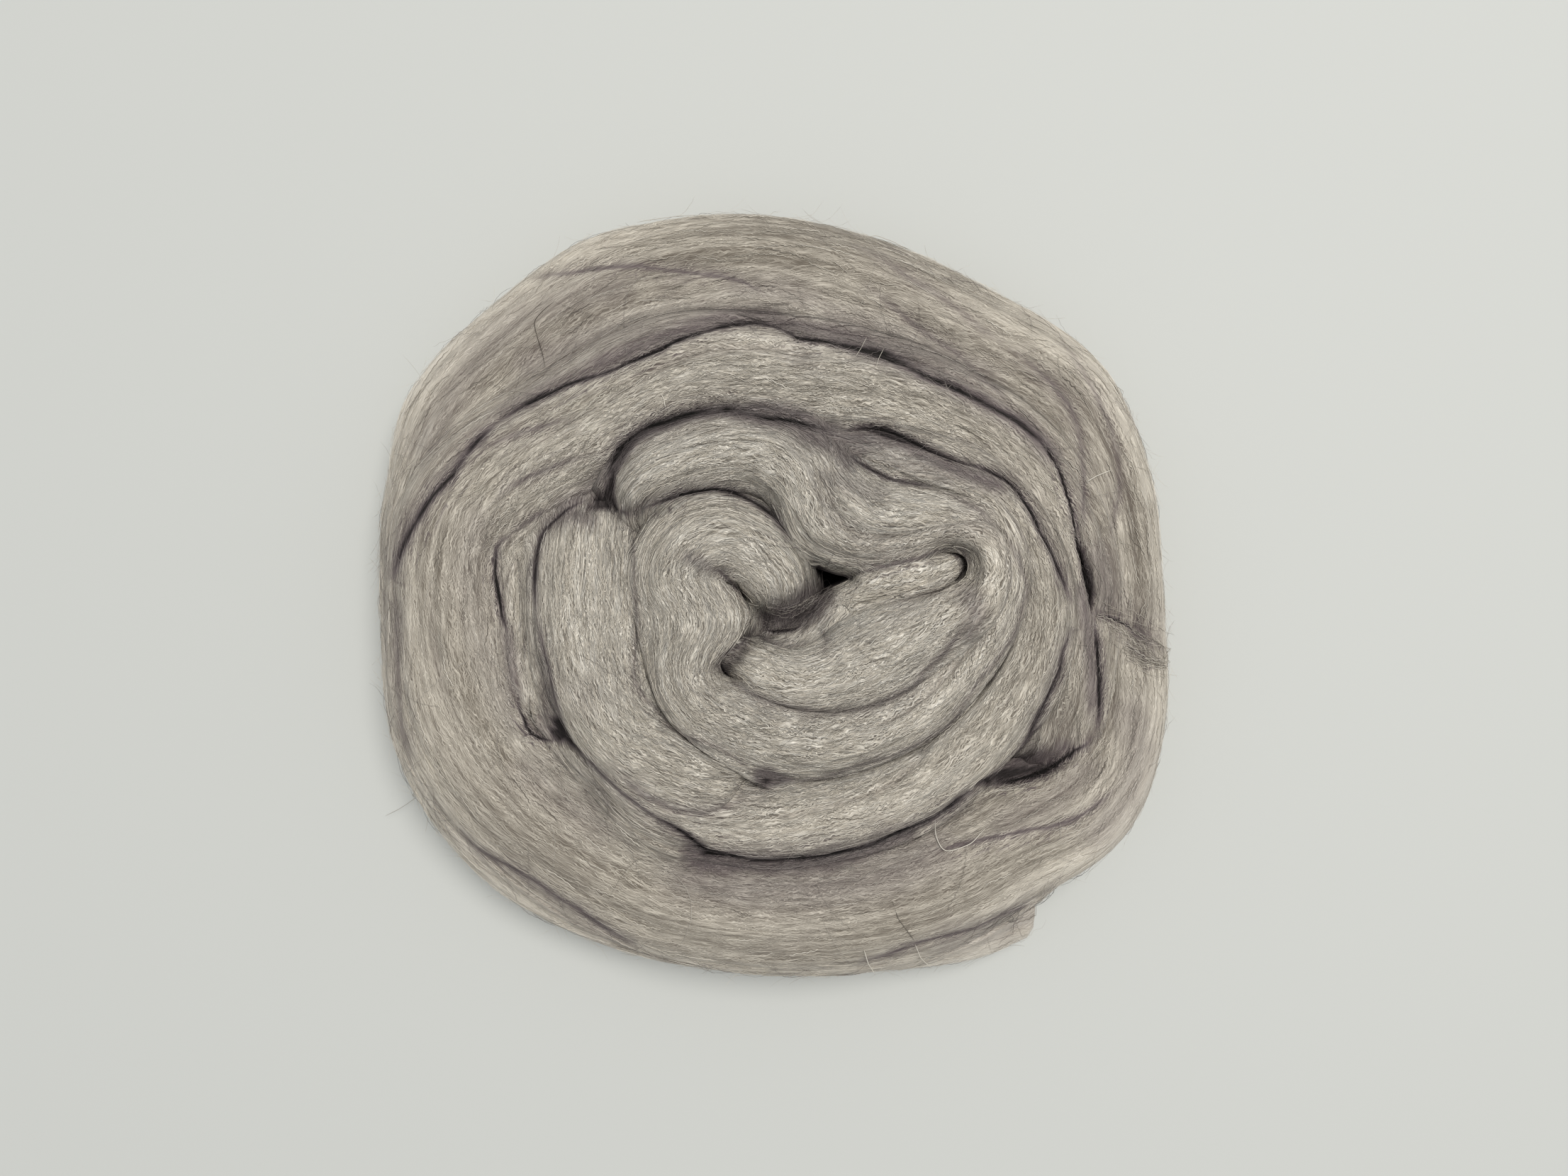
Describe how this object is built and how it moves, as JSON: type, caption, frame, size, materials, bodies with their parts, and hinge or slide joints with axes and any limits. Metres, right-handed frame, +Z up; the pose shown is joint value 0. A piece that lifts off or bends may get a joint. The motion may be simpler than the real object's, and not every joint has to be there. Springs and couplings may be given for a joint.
{
  "type": "wool roving bundle",
  "caption": "Undyed combed wool roving laid down as a low round coil, with folds heaped in the middle and a loose end under the front edge, for felting or spinning.",
  "frame": {"origin": "middle of the bundle's footprint, on the surface it lies on", "axes": "+Z up; -Y the front, where the loose end shows at the right; +X to the right of it"},
  "size_m": [0.2666, 0.259, 0.0598],
  "materials": {
    "wool": "matt"
  },
  "bodies": {
    "root": {"roving_bundle": "wool"}
  },
  "joints": []
}
